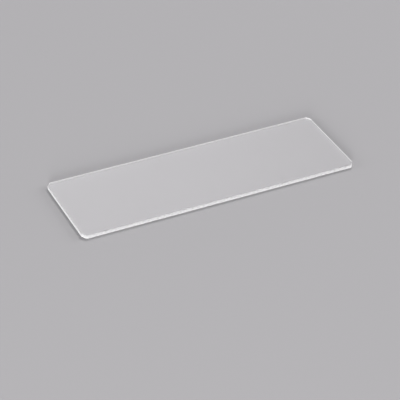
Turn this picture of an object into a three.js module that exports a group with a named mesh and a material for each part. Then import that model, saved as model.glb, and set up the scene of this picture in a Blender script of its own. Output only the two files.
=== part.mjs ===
// Plain microscope slide: one flat plate of clear glass with its four corners cut off and its
// whole edge ground, with a small 45 degree bevel against both polished faces.
//
// Millimetres, +Z up. The origin is the middle of the underside. +X runs along the length and
// +Y across the width. The slide lies flat, as it does on a microscope's stage.

import * as THREE from 'three';

// Driving dimensions
const slideLength = 75.0;
const slideWidth = 25.0;
const glassThickness = 1.0;
const clipAlong = 0.9; // what a corner's cut takes off the long side
const clipAcross = 1.3; // and what it takes off the short one
const clipEasing = 0.25; // radius of the ground-off ends of a corner's cut
const groundBevel = 0.1; // height and depth of the bevel ground along every edge
const easingFlats = 6; // flats that make up one eased end

// Glass colour and finish
const glassColour = 0xe4ecea;
const glassRoughness = 0.06;
const glassOpacity = 0.35;

// The outline is an octagon. Its points go anticlockwise from the front edge's right end.
function clippedRectangle() {
  const endX = slideLength / 2;
  const sideY = slideWidth / 2;
  return [
    new THREE.Vector2(endX - clipAlong, -sideY),
    new THREE.Vector2(endX, clipAcross - sideY),
    new THREE.Vector2(endX, sideY - clipAcross),
    new THREE.Vector2(endX - clipAlong, sideY),
    new THREE.Vector2(clipAlong - endX, sideY),
    new THREE.Vector2(-endX, sideY - clipAcross),
    new THREE.Vector2(-endX, clipAcross - sideY),
    new THREE.Vector2(clipAlong - endX, -sideY),
  ];
}

// Adds the arc that touches the two lines that meet at a point. The glass is on their left.
// A path joins its arcs with straight lines.
function easePoint(outline, before, point, after) {
  const ahead = point.clone().sub(before).normalize();
  const onward = after.clone().sub(point).normalize();
  const turn = ahead.angleTo(onward);
  const inward = new THREE.Vector2(-ahead.y, ahead.x);
  const centre = point.clone();
  centre.addScaledVector(ahead, -clipEasing * Math.tan(turn / 2));
  centre.addScaledVector(inward, clipEasing);
  const start = ahead.angle() - Math.PI / 2;
  outline.absarc(centre.x, centre.y, clipEasing, start, start + turn, false);
}

function slideOutline() {
  const outline = new THREE.Shape();
  const points = clippedRectangle();
  points.forEach((point, i) => {
    const before = points.at(i - 1);
    const after = points[(i + 1) % points.length];
    easePoint(outline, before, point, after);
  });
  outline.closePath();
  return outline;
}

// The outline is the slide's full size. The upright land of the ground edge stands on it, and
// the bevels step in from it above and below.
function slidePlate() {
  return new THREE.ExtrudeGeometry(slideOutline(), {
    depth: glassThickness - 2 * groundBevel,
    curveSegments: easingFlats / 2, // an arc is cut into twice this many flats
    bevelEnabled: true,
    bevelThickness: groundBevel,
    bevelSize: groundBevel,
    bevelOffset: -groundBevel,
    bevelSegments: 1,
  });
}

function clearGlass() {
  return new THREE.MeshStandardMaterial({
    color: glassColour,
    roughness: glassRoughness,
    metalness: 0,
    transparent: true,
    opacity: glassOpacity,
  });
}

const glassSlide = new THREE.Mesh(slidePlate(), clearGlass());
glassSlide.name = 'glass_slide';
glassSlide.position.z = groundBevel; // the land starts this far above the underside

const microscopeSlide = new THREE.Group();
microscopeSlide.add(glassSlide);

export default microscopeSlide;
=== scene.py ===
"""Looks of a plain glass microscope slide: clear polished faces, and an edge that is ground
all round, with a bevel against both faces and the four corners cut off."""

import math

import bpy
from mathutils import Matrix, Vector


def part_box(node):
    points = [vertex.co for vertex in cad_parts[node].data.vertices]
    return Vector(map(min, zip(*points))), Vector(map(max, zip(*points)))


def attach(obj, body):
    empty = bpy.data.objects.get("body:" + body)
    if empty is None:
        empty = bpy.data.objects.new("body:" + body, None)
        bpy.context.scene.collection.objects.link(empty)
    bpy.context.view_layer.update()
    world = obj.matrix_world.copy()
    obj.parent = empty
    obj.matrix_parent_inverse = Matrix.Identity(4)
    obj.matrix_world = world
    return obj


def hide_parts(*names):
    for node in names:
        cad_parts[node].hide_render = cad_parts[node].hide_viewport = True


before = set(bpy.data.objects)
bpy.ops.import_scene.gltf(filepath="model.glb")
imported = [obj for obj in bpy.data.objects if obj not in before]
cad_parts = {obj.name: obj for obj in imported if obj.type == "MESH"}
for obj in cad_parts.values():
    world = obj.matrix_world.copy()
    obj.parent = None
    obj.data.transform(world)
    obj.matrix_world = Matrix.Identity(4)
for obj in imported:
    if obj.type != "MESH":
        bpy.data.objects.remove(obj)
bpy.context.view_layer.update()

MM = 0.001

# The plate, in metres. Its overall size is the frame's.
plate_low, plate_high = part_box("glass_slide")
PLATE_LENGTH, PLATE_WIDTH, PLATE_THICKNESS = plate_high - plate_low
CLIP_ALONG = 0.9 * MM  # what a corner's cut takes off the long side
CLIP_ACROSS = 1.3 * MM  # and off the short one
CLIP_EASING = 0.25 * MM  # how far along the outline the ends of a cut are rounded
EASING_FLATS = 6
GROUND_BEVEL = 0.1 * MM
EDGE_STEP = 0.2 * MM  # spacing of the points along the ground edge
WANDER = 0.02 * MM  # how far the grinding leaves an arris off its straight line
WANDER_PER_METRE = 600.0
WANDER_SEED = 7
HAIR = 1e-6  # a point nearer to a face's level than this lies in that face

# Which way a part of the plate faces tells its finish: the upright share of its normal, and for
# the corner cuts the smaller of the two level ones.
BEVEL_LEAN = 0.3
FACE_LEAN = 0.95
CUT_SLANT = 0.2
ANY_WAY = -1.0

# The polished faces.
GLASS_IOR = 1.52
HAZE_PER_METRE = 140.0
HAZE_TINT = (0.99, 1.0)  # how clear the glass is where the wiping haze is least and most
HAZE_ROUGHNESS = (0.0, 0.05)
HAZE_RANGE = (0.35, 0.75)  # the noise values between which the haze sets in
FACE_PASSES = 0.97  # the share of a lamp's light that one polished face lets in

# The ground parts of the edge.
GRAIN_PER_METRE = 9000.0
CLOUD_PER_METRE = 1600.0
STREAKING = (1.0, 1.0, 3.0)  # patches are longer along the edge than up it
PATCH_RANGE = (0.4, 0.5)  # the cloud values between which a dull patch turns white
DULL_PATCH = 0.4  # how white the least frosted patches of a ground part are beside the rest
PAINTED_TOP_SHADE = 0.87  # how white the top of the ground edge is painted beside its foot: painted shade
PAINTED_SHADE_RANGE = (0.2, 0.9)  # where that painted shade starts and is full, in thicknesses of the plate
EDGE_ROUGHNESS = (0.45, 0.75)
GRAIN_RANGE = (0.3, 0.7)  # the grain values between which the roughness rises
GRAIN_STRENGTH = 0.4
GRAIN_DEPTH = 0.01 * MM
LIT_FROST = 0.94  # how much of the light from within shows through the frost
INNER_FROST_PAINTED_SHADE = 0.42  # how white the ground edge is painted as seen from inside the glass, darker than outside: painted shade for the dimmer light within
INNER_GLOW = 1.0  # and how much of the light that falls on its outside shows there
EDGE_PASSES = 0.9  # the share of a lamp's light that leaves the plate through its edge
SPILL_PAINTED_SHADE = 0.5  # how white the floor beside it sees the ground edge, dimmer than the edge: painted shade on that floor
INNER_SPILL_PAINTED_SHADE = 0.75  # and how white the floor under the plate sees it, dimmed too: painted shade there

# The camera looks down along the plate from its near left end.
CAMERA_AIM = Vector((-4.77, -9.13, 0.0)) * MM
CAMERA_AZIMUTH = math.radians(-25.57)
CAMERA_ELEVATION = math.radians(35.02)
CAMERA_DISTANCE = 444.14 * MM
CAMERA_ROLL = math.radians(0.376)
CAMERA_LENS = 160.3
SENSOR_WIDTH = 36.0
CAMERA_CLIP = (0.01, 50.0)

FLOOR_COLOUR = (0.412, 0.406, 0.416)
FLOOR_REACH = 6.0  # from the middle of the floor to its sides
FLOOR_FADE = (0.12, 0.45)  # where the floor starts to turn into the backdrop, and where it has
AIR_GAP = 0.02 * MM  # what stays under a polished plate that lies on a flat floor

# The room that lights the slide from all round. A rise is the upright share of a direction.
ROOM_TINT = (1.0, 0.983, 1.009)  # the faint violet of the room's light
HORIZON_LIGHT = 0.46
BACKDROP = tuple(HORIZON_LIGHT * part for part in ROOM_TINT)  # as the lit floor looks: no horizon
WALL_LIGHT = 0.58
WALL_RISE = (0.06, 0.18)  # where the horizon's light turns into the walls'
CEILING_LIGHT = 0.2
CEILING_RISE = (0.4, 0.85)  # and the walls' into the ceiling's
BACK_LIGHT = 1.5
BACK_AZIMUTH = 167  # of the middle of the back wall's glow, in degrees
BACK_ELEVATION = 44
BACK_SPREAD = (24, 6)  # how far from there the glow starts, and where it is full

# Name, azimuth and elevation in degrees, distance and width in metres, power in watts.
SOFTBOXES = (
    ("key_softbox", -28, 9, 0.8, 0.24, 6.5),
    ("left_softbox", -100, 16, 0.9, 0.3, 1.9),
    ("side_softbox", 85, 19, 2.0, 0.8, 15.5),
    ("back_softbox", 138, 45, 2.0, 0.4, 20.0),
)

# The places of a colour Mix node's sockets, several of which share a name.
MIX_SHARE, MIX_LOW, MIX_HIGH, MIX_RESULT = 0, 6, 7, 2


# ---------------------------------------------------------------------------------------------
# Node helpers


def add_node(tree, kind, settings=None, **inputs):
    """A new node with its settings, and its inputs given by name: a value or another's socket."""
    node = tree.nodes.new(kind)
    for name, value in (settings or {}).items():
        setattr(node, name, value)
    for name, value in inputs.items():
        feed(tree, node, name.replace("_", " "), value)
    return node


def feed(tree, node, name, value):
    """Sets or links one input of a node. A number as a name is the input's place."""
    socket = node.inputs[name]
    if isinstance(value, bpy.types.NodeSocket):
        tree.links.new(value, socket)
    else:
        socket.default_value = value


def maths(tree, operation, first, second=0.0):
    """The result of a Math node."""
    node = add_node(tree, "ShaderNodeMath", {"operation": operation})
    feed(tree, node, 0, first)
    feed(tree, node, 1, second)
    return node.outputs[0]


def vectors(tree, operation, first, second=None, scale=None):
    """The result of a Vector Math node."""
    node = add_node(tree, "ShaderNodeVectorMath", {"operation": operation})
    feed(tree, node, 0, first)
    if second is not None:
        feed(tree, node, 1, second)
    if scale is not None:
        feed(tree, node, "Scale", scale)
    return node.outputs["Value" if operation in ("LENGTH", "DOT_PRODUCT", "DISTANCE") else "Vector"]


def ramp(tree, value, low, high, from_low=0.0, from_high=1.0, kind="LINEAR"):
    """A value spread over a new range, clamped."""
    node = add_node(tree, "ShaderNodeMapRange", {"interpolation_type": kind}, Value=value)
    feed(tree, node, "From Min", from_low)
    feed(tree, node, "From Max", from_high)
    feed(tree, node, "To Min", low)
    feed(tree, node, "To Max", high)
    return node.outputs["Result"]


def grey(level):
    """An even grey, from 0, black, to 1, white."""
    return (level, level, level, 1.0)


def blend(tree, share, low_colour, high_colour):
    """A colour between two, by a share from 0 to 1."""
    node = add_node(tree, "ShaderNodeMix", {"data_type": "RGBA"})
    feed(tree, node, MIX_SHARE, share)
    feed(tree, node, MIX_LOW, low_colour)
    feed(tree, node, MIX_HIGH, high_colour)
    return node.outputs[MIX_RESULT]


def mix_shaders(tree, share, first, second):
    """A surface between two, by a share from 0 to 1."""
    node = tree.nodes.new("ShaderNodeMixShader")
    for place, value in enumerate((share, first, second)):
        feed(tree, node, place, value)
    return node.outputs["Shader"]


def new_group(name, kind, inputs, outputs):
    """A node group with named sockets. Returns the tree and its input node."""
    tree = bpy.data.node_groups.new(name, kind)
    for socket_name, socket_kind, value in inputs:
        socket = tree.interface.new_socket(socket_name, in_out="INPUT", socket_type=socket_kind)
        if value is not None:
            socket.default_value = value
    for socket_name, socket_kind in outputs:
        tree.interface.new_socket(socket_name, in_out="OUTPUT", socket_type=socket_kind)
    return tree, tree.nodes.new("NodeGroupInput")


def new_material(name):
    """A material, its tree and its Principled shader."""
    material = bpy.data.materials.new(name)
    material.use_nodes = True
    return material, material.node_tree, material.node_tree.nodes["Principled BSDF"]


# ---------------------------------------------------------------------------------------------
# Finishes


def grinding_grain():
    """Group: the frost that a grinding wheel leaves, as a fine grain and a streaky cloudiness."""
    tree, given = new_group(
        "Grinding grain",
        "ShaderNodeTree",
        [
            ("Grain per metre", "NodeSocketFloat", GRAIN_PER_METRE),
            ("Cloud per metre", "NodeSocketFloat", CLOUD_PER_METRE),
            ("Streaking", "NodeSocketVector", STREAKING),
        ],
        [
            ("Grain", "NodeSocketFloat"),
            ("Cloud", "NodeSocketFloat"),
        ],
    )
    place = tree.nodes.new("ShaderNodeTexCoord").outputs["Object"]
    grain = add_node(tree, "ShaderNodeTexNoise", Vector=place, Detail=3.0, Roughness=0.6)
    feed(tree, grain, "Scale", given.outputs["Grain per metre"])
    streaked = vectors(tree, "MULTIPLY", place, given.outputs["Streaking"])
    cloud = add_node(tree, "ShaderNodeTexNoise", Vector=streaked, Detail=2.0, Roughness=0.5)
    feed(tree, cloud, "Scale", given.outputs["Cloud per metre"])
    put = tree.nodes.new("NodeGroupOutput")
    feed(tree, put, "Grain", grain.outputs["Fac"])
    feed(tree, put, "Cloud", cloud.outputs["Fac"])
    return tree


def let_lamps_through(tree, shader, share):
    """Light on its way to the floor, or from it, crosses the clear glass unbent."""
    path = tree.nodes.new("ShaderNodeLightPath").outputs
    clear = add_node(tree, "ShaderNodeBsdfTransparent", Color=grey(share))
    surface = shader.outputs["BSDF"]
    for kind in ("Is Shadow Ray", "Is Diffuse Ray"):
        surface = mix_shaders(tree, path[kind], surface, clear.outputs["BSDF"])
    feed(tree, tree.nodes["Material Output"], "Surface", surface)


def polished_glass():
    """The two large faces: clear soda-lime glass with the faintest wiping haze."""
    material, tree, shader = new_material("polished glass")
    place = tree.nodes.new("ShaderNodeTexCoord").outputs["Object"]
    noise = add_node(tree, "ShaderNodeTexNoise", Vector=place, Scale=HAZE_PER_METRE, Detail=4.0)
    haze = noise.outputs["Fac"]
    feed(tree, shader, "Base Color", blend(tree, haze, *map(grey, HAZE_TINT)))
    feed(tree, shader, "Roughness", ramp(tree, haze, *HAZE_ROUGHNESS, *HAZE_RANGE))
    feed(tree, shader, "IOR", GLASS_IOR)
    feed(tree, shader, "Transmission Weight", 1.0)
    let_lamps_through(tree, shader, FACE_PASSES)
    return material


def ground_glass(name, grain_group, clear_share, whiteness, outer_glow, inner_glow):
    """A ground part of the edge: frosted white, and part of it still lets light through.

    A glow is the share of the surface that shows the light from its other side, seen from
    outside the plate or from inside it.
    """
    material, tree, shader = new_material(name)
    place = tree.nodes.new("ShaderNodeTexCoord").outputs["Object"]
    behind = tree.nodes.new("ShaderNodeNewGeometry").outputs["Backfacing"]
    path = tree.nodes.new("ShaderNodeLightPath").outputs
    grinding = add_node(tree, "ShaderNodeGroup", {"node_tree": grain_group})
    feed(tree, grinding, "Grain per metre", GRAIN_PER_METRE)
    feed(tree, grinding, "Cloud per metre", CLOUD_PER_METRE)
    feed(tree, grinding, "Streaking", STREAKING)
    grain, cloud = grinding.outputs["Grain"], grinding.outputs["Cloud"]

    # The frost: streaky patches of two whites, and painted shade that makes the top duller than the
    # foot.
    frosted = ramp(tree, cloud, 0.0, 1.0, *PATCH_RANGE)
    patches = blend(tree, frosted, grey(whiteness * DULL_PATCH), grey(whiteness))
    height = add_node(tree, "ShaderNodeSeparateXYZ", Vector=place).outputs["Z"]
    foot, top = (share * PLATE_THICKNESS for share in PAINTED_SHADE_RANGE)
    painted_top_shade = ramp(tree, height, 1.0, PAINTED_TOP_SHADE, foot, top)
    frost_with_painted_shade = vectors(tree, "SCALE", patches, scale=painted_top_shade)
    # Seen from inside the glass, the edge is painted a darker grey: painted shade.
    feed(tree, shader, "Base Color", blend(tree, behind, frost_with_painted_shade, grey(INNER_FROST_PAINTED_SHADE)))
    feed(tree, shader, "Roughness", ramp(tree, grain, *EDGE_ROUGHNESS, *GRAIN_RANGE))
    feed(tree, shader, "IOR", GLASS_IOR)
    feed(tree, shader, "Transmission Weight", clear_share)
    bump = add_node(tree, "ShaderNodeBump", Strength=GRAIN_STRENGTH, Distance=GRAIN_DEPTH)
    feed(tree, bump, "Height", grain)
    feed(tree, shader, "Normal", bump.outputs["Normal"])

    # The glow of light that comes through the frost, painted duller towards the top by the same
    # painted shade.
    glow_colour_with_painted_shade = vectors(tree, "SCALE", (whiteness * LIT_FROST,) * 3, scale=painted_top_shade)
    glow = add_node(tree, "ShaderNodeBsdfTranslucent", Normal=bump.outputs["Normal"])
    feed(tree, glow, "Color", blend(tree, behind, glow_colour_with_painted_shade, grey(INNER_GLOW)))
    glow_share = ramp(tree, behind, outer_glow, inner_glow)
    surface = mix_shaders(tree, glow_share, shader.outputs["BSDF"], glow.outputs["BSDF"])

    # On the way to a lamp, the edge is clear from inside and closed from outside.
    clear = add_node(tree, "ShaderNodeBsdfTransparent", Color=grey(EDGE_PASSES))
    one_way = mix_shaders(tree, behind, surface, clear.outputs["BSDF"])
    surface = mix_shaders(tree, path["Is Shadow Ray"], surface, one_way)

    # The floor sees the edge as an even grey, dimmer than the edge itself: painted shade on the
    # floor beside and under the edge. This also keeps the floor free of noise.
    pale = blend(tree, behind, grey(SPILL_PAINTED_SHADE), grey(INNER_SPILL_PAINTED_SHADE))
    painted_shade_spill = add_node(tree, "ShaderNodeBsdfDiffuse", Color=pale)
    surface = mix_shaders(tree, path["Is Diffuse Ray"], surface, painted_shade_spill.outputs["BSDF"])
    feed(tree, tree.nodes["Material Output"], "Surface", surface)
    return material


# ---------------------------------------------------------------------------------------------
# The glass


# What the plate's tree is given: the name and kind of each input, and its value.
PLATE_INPUTS = (
    ("Length", "NodeSocketFloat", PLATE_LENGTH),
    ("Width", "NodeSocketFloat", PLATE_WIDTH),
    ("Thickness", "NodeSocketFloat", PLATE_THICKNESS),
    ("Clip along", "NodeSocketFloat", CLIP_ALONG),
    ("Clip across", "NodeSocketFloat", CLIP_ACROSS),
    ("Clip easing", "NodeSocketFloat", CLIP_EASING),
    ("Easing flats", "NodeSocketInt", EASING_FLATS),
    ("Bevel", "NodeSocketFloat", GROUND_BEVEL),
    ("Edge step", "NodeSocketFloat", EDGE_STEP),
    ("Wander", "NodeSocketFloat", WANDER),
    ("Wander per metre", "NodeSocketFloat", WANDER_PER_METRE),
    ("Seed", "NodeSocketInt", WANDER_SEED),
)


def slide_tree(faces, land, bevel, corner):
    """Geometry Nodes: the clipped outline stacked four times up the edge's section and capped."""
    tree, given = new_group(
        "Ground edge plate",
        "GeometryNodeTree",
        [("Geometry", "NodeSocketGeometry", None), *PLATE_INPUTS],
        [("Geometry", "NodeSocketGeometry")],
    )
    size = given.outputs

    # The outline: a narrowed rectangle with its corners cut at 45 degrees, stretched back to its
    # width so that the cuts reach further across than along, and the ends of the cuts eased.
    narrowing = maths(tree, "DIVIDE", size["Clip along"], size["Clip across"])
    outline = add_node(tree, "GeometryNodeCurvePrimitiveQuadrilateral", {"mode": "RECTANGLE"})
    feed(tree, outline, "Width", size["Length"])
    feed(tree, outline, "Height", maths(tree, "MULTIPLY", size["Width"], narrowing))
    clipped = add_node(tree, "GeometryNodeFilletCurve", {"mode": "POLY"}, Count=1)
    feed(tree, clipped, "Curve", outline.outputs["Curve"])
    feed(tree, clipped, "Radius", size["Clip along"])
    widened = add_node(tree, "ShaderNodeCombineXYZ", X=1.0, Z=1.0)
    feed(tree, widened, "Y", maths(tree, "DIVIDE", 1.0, narrowing))
    stretched = add_node(tree, "GeometryNodeTransform")
    feed(tree, stretched, "Geometry", clipped.outputs["Curve"])
    feed(tree, stretched, "Scale", widened.outputs["Vector"])
    eased = add_node(tree, "GeometryNodeFilletCurve", {"mode": "POLY"})
    feed(tree, eased, "Curve", stretched.outputs["Geometry"])
    feed(tree, eased, "Count", size["Easing flats"])
    feed(tree, eased, "Radius", size["Clip easing"])

    # Long stretches get a point at every step, so that their arrises can wander.
    index = tree.nodes.new("GeometryNodeInputIndex").outputs["Index"]
    place = tree.nodes.new("GeometryNodeInputPosition").outputs["Position"]
    following = add_node(tree, "GeometryNodeOffsetPointInCurve", Offset=1)
    feed(tree, following, "Point Index", index)
    neighbour = add_node(tree, "GeometryNodeFieldAtIndex", {"data_type": "FLOAT_VECTOR"})
    feed(tree, neighbour, "Value", place)
    feed(tree, neighbour, "Index", following.outputs["Point Index"])
    stretch = vectors(tree, "DISTANCE", place, neighbour.outputs["Value"])
    cuts = maths(tree, "FLOOR", maths(tree, "DIVIDE", stretch, size["Edge step"]))
    stepped = add_node(tree, "GeometryNodeSubdivideCurve")
    feed(tree, stepped, "Curve", eased.outputs["Curve"])
    feed(tree, stepped, "Cuts", cuts)

    # Which way is out, at each point of the outline.
    tangent = tree.nodes.new("GeometryNodeInputTangent").outputs["Tangent"]
    outward = vectors(tree, "CROSS_PRODUCT", tangent, (0.0, 0.0, 1.0))
    marked = tree.nodes.new("GeometryNodeCaptureAttribute")
    marked.capture_items.new("VECTOR", "Outward")
    feed(tree, marked, "Geometry", stepped.outputs["Curve"])
    feed(tree, marked, "Outward", outward)

    # The levels of the edge's section, from the lower face to the upper one.
    land_top = maths(tree, "SUBTRACT", size["Thickness"], size["Bevel"])
    heights = (0.0, size["Bevel"], land_top, size["Thickness"])
    levels = add_node(tree, "GeometryNodeMeshLine", {"mode": "OFFSET", "count_mode": "TOTAL"})
    feed(tree, levels, "Count", len(heights))
    feed(tree, levels, "Offset", (0.0, 0.0, 1.0))
    level_height = add_node(tree, "GeometryNodeIndexSwitch", {"data_type": "FLOAT"})
    while len(level_height.index_switch_items) < len(heights):
        level_height.index_switch_items.new()
    feed(tree, level_height, "Index", index)
    for level, height in enumerate(heights):
        feed(tree, level_height, str(level), height)
    upright = add_node(tree, "ShaderNodeCombineXYZ", Z=level_height.outputs["Output"])
    placed = add_node(tree, "GeometryNodeSetPosition")
    feed(tree, placed, "Geometry", levels.outputs["Mesh"])
    feed(tree, placed, "Position", upright.outputs["Vector"])
    spine = add_node(tree, "GeometryNodeMeshToCurve")
    feed(tree, spine, "Mesh", placed.outputs["Geometry"])

    stack = add_node(tree, "GeometryNodeCurveToMesh")
    feed(tree, stack, "Curve", spine.outputs["Curve"])
    feed(tree, stack, "Profile Curve", marked.outputs["Geometry"])
    feed(tree, stack, "Fill Caps", True)

    # The two outer levels step in by the bevel, and each of their arrises wanders a little.
    height = add_node(tree, "ShaderNodeSeparateXYZ", Vector=place).outputs["Z"]
    middle = maths(tree, "MULTIPLY", size["Thickness"], 0.5)
    from_middle = maths(tree, "ABSOLUTE", maths(tree, "SUBTRACT", height, middle))
    at_face = maths(tree, "GREATER_THAN", from_middle, maths(tree, "SUBTRACT", middle, HAIR))
    noise = add_node(tree, "ShaderNodeTexNoise", {"noise_dimensions": "4D"}, Detail=3.0)
    feed(tree, noise, "Scale", size["Wander per metre"])
    feed(tree, noise, "Vector", place)
    feed(tree, noise, "W", size["Seed"])
    worn = maths(tree, "MULTIPLY", noise.outputs["Fac"], size["Wander"])
    step_in = maths(tree, "MULTIPLY", maths(tree, "ADD", size["Bevel"], worn), -1.0)
    bevelled = add_node(tree, "GeometryNodeSetPosition")
    feed(tree, bevelled, "Geometry", stack.outputs["Mesh"])
    feed(tree, bevelled, "Selection", at_face)
    feed(tree, bevelled, "Offset", vectors(tree, "SCALE", marked.outputs["Outward"], scale=step_in))

    flat = add_node(tree, "GeometryNodeSetShadeSmooth")
    feed(tree, flat, "Geometry", bevelled.outputs["Geometry"])
    feed(tree, flat, "Shade Smooth", False)

    whole = add_node(tree, "GeometryNodeRealizeInstances")
    feed(tree, whole, "Geometry", flat.outputs["Geometry"])

    # Each part takes its finish from the way it faces: up or down, aslant, or upright.
    normal = tree.nodes.new("GeometryNodeInputNormal").outputs["Normal"]
    facing = add_node(tree, "ShaderNodeSeparateXYZ", Vector=vectors(tree, "ABSOLUTE", normal))
    lean = facing.outputs["Z"]
    slant = maths(tree, "MINIMUM", facing.outputs["X"], facing.outputs["Y"])
    finished = whole.outputs["Geometry"]
    for material, share, least in (
        (land, lean, ANY_WAY),
        (bevel, lean, BEVEL_LEAN),
        (corner, slant, CUT_SLANT),
        (faces, lean, FACE_LEAN),
    ):
        coat = add_node(tree, "GeometryNodeSetMaterial", Material=material)
        feed(tree, coat, "Geometry", finished)
        feed(tree, coat, "Selection", maths(tree, "GREATER_THAN", share, least))
        finished = coat.outputs["Geometry"]
    put = tree.nodes.new("NodeGroupOutput")
    feed(tree, put, "Geometry", finished)
    return tree


def set_inputs(modifier, inputs):
    """Sets a Geometry Nodes modifier's inputs, each by the identifier of the socket so named."""
    sockets = modifier.node_group.interface.items_tree
    identifiers = {socket.name: socket.identifier for socket in sockets if socket.in_out == "INPUT"}
    for name, _, value in inputs:
        modifier[identifiers[name]] = value


def evaluated_mesh(carrier, name):
    """What the carrier's modifier makes, as a plain mesh."""
    depsgraph = bpy.context.evaluated_depsgraph_get()
    mesh = bpy.data.meshes.new_from_object(carrier.evaluated_get(depsgraph))
    mesh.name = name
    return mesh


def make_slide():
    """The glass plate, which stands for the frame's."""
    grain = grinding_grain()
    faces = polished_glass()
    land = ground_glass(
        "ground edge", grain, clear_share=0.15, whiteness=0.96, outer_glow=0.58, inner_glow=0.5
    )
    bevel = ground_glass(
        "ground bevel", grain, clear_share=0.15, whiteness=0.94, outer_glow=0.58, inner_glow=0.5
    )
    corner = ground_glass(
        "cut corner", grain, clear_share=0.1, whiteness=0.84, outer_glow=0.42, inner_glow=0.85
    )
    carrier = bpy.data.objects.new("slide_carrier", bpy.data.meshes.new("slide_carrier"))
    bpy.context.collection.objects.link(carrier)
    modifier = carrier.modifiers.new("Ground edge plate", "NODES")
    modifier.node_group = slide_tree(faces, land, bevel, corner)
    set_inputs(modifier, PLATE_INPUTS)
    mesh = evaluated_mesh(carrier, "polished_slide")
    bpy.data.objects.remove(carrier)
    slide = bpy.data.objects.new("polished_slide", mesh)
    bpy.context.collection.objects.link(slide)
    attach(slide, "root")
    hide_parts("glass_slide")


# ---------------------------------------------------------------------------------------------
# Floor, light and camera


def make_floor():
    """A plain pale floor that turns into an even backdrop further out."""
    mesh = bpy.data.meshes.new("floor")
    r, z = FLOOR_REACH, plate_low.z - AIR_GAP
    mesh.from_pydata([(-r, -r, z), (r, -r, z), (r, r, z), (-r, r, z)], [], [(0, 1, 2, 3)])
    floor = bpy.data.objects.new("floor", mesh)
    bpy.context.collection.objects.link(floor)
    material, tree, shader = new_material("pale floor")
    feed(tree, shader, "Base Color", (*FLOOR_COLOUR, 1))
    feed(tree, shader, "Roughness", 1.0)
    feed(tree, shader, "Specular IOR Level", 0.0)
    place = tree.nodes.new("ShaderNodeTexCoord").outputs["Object"]
    far = ramp(tree, vectors(tree, "LENGTH", place), 0.0, 1.0, *FLOOR_FADE, "SMOOTHSTEP")
    path = tree.nodes.new("ShaderNodeLightPath").outputs
    by_glass = maths(tree, "MAXIMUM", path["Is Glossy Ray"], path["Is Transmission Ray"])
    seen = maths(tree, "MAXIMUM", path["Is Camera Ray"], by_glass)
    backdrop = add_node(tree, "ShaderNodeEmission", Color=(*BACKDROP, 1))
    backdrop_share = maths(tree, "MULTIPLY", far, seen)
    sweep = mix_shaders(tree, backdrop_share, shader.outputs["BSDF"], backdrop.outputs["Emission"])
    feed(tree, tree.nodes["Material Output"], "Surface", sweep)
    mesh.materials.append(material)


def direction(azimuth, elevation):
    """The unit vector towards an azimuth and elevation, as a camera's place is given."""
    flat = math.cos(elevation)
    return Vector((math.sin(azimuth) * flat, -math.cos(azimuth) * flat, math.sin(elevation)))


def softbox(name, azimuth, elevation, distance, width, power):
    """A round soft lamp that faces the slide."""
    light = bpy.data.lights.new(name, "AREA")
    light.shape = "DISK"
    light.size = width
    light.energy = power
    lamp = bpy.data.objects.new(name, light)
    # The glass mirrors the room and not the lamps, and no view has a lamp in its background.
    lamp.visible_camera = lamp.visible_glossy = lamp.visible_transmission = False
    towards = direction(math.radians(azimuth), math.radians(elevation))
    lamp.location = towards * distance
    lamp.rotation_euler = (-towards).to_track_quat("-Z", "Y").to_euler()
    bpy.context.collection.objects.link(lamp)


def studio_sky():
    """Soft light from all round: pale walls, a duller ceiling and a brighter wall behind."""
    world = bpy.data.worlds.new("studio")
    bpy.context.scene.world = world
    world.use_nodes = True
    tree = world.node_tree
    ray = tree.nodes.new("ShaderNodeTexCoord").outputs["Generated"]
    rise = add_node(tree, "ShaderNodeSeparateXYZ", Vector=ray).outputs["Z"]
    walls = ramp(tree, rise, HORIZON_LIGHT, WALL_LIGHT, *WALL_RISE, "SMOOTHSTEP")
    ceiling = ramp(tree, rise, 0.0, CEILING_LIGHT - WALL_LIGHT, *CEILING_RISE, "SMOOTHSTEP")
    back_wall = direction(math.radians(BACK_AZIMUTH), math.radians(BACK_ELEVATION))
    nearness = vectors(tree, "DOT_PRODUCT", ray, tuple(back_wall))
    edge, middle = (math.cos(math.radians(spread)) for spread in BACK_SPREAD)
    back = ramp(tree, nearness, 0.0, BACK_LIGHT - WALL_LIGHT, edge, middle, "SMOOTHSTEP")
    light = maths(tree, "ADD", maths(tree, "ADD", walls, ceiling), back)
    feed(tree, tree.nodes["Background"], "Color", vectors(tree, "SCALE", ROOM_TINT, scale=light))


def make_camera():
    """The camera at its viewing angle, rolled a little."""
    data = bpy.data.cameras.new("camera")
    data.lens = CAMERA_LENS
    data.sensor_width = SENSOR_WIDTH
    data.clip_start, data.clip_end = CAMERA_CLIP
    camera = bpy.data.objects.new("camera", data)
    back = direction(CAMERA_AZIMUTH, CAMERA_ELEVATION)
    right = Vector((math.cos(CAMERA_AZIMUTH), math.sin(CAMERA_AZIMUTH), 0.0))
    up = back.cross(right)
    rolled_right = right * math.cos(CAMERA_ROLL) + up * math.sin(CAMERA_ROLL)
    rolled_up = back.cross(rolled_right)
    turn = Matrix((rolled_right, rolled_up, back)).transposed().to_4x4()
    camera.matrix_world = Matrix.Translation(CAMERA_AIM + back * CAMERA_DISTANCE) @ turn
    bpy.context.collection.objects.link(camera)
    bpy.context.scene.camera = camera


def main():
    """Builds the scene."""
    make_camera()
    studio_sky()
    for lamp in SOFTBOXES:
        softbox(*lamp)
    make_floor()
    make_slide()
    bpy.context.scene.view_settings.view_transform = "Standard"


main()
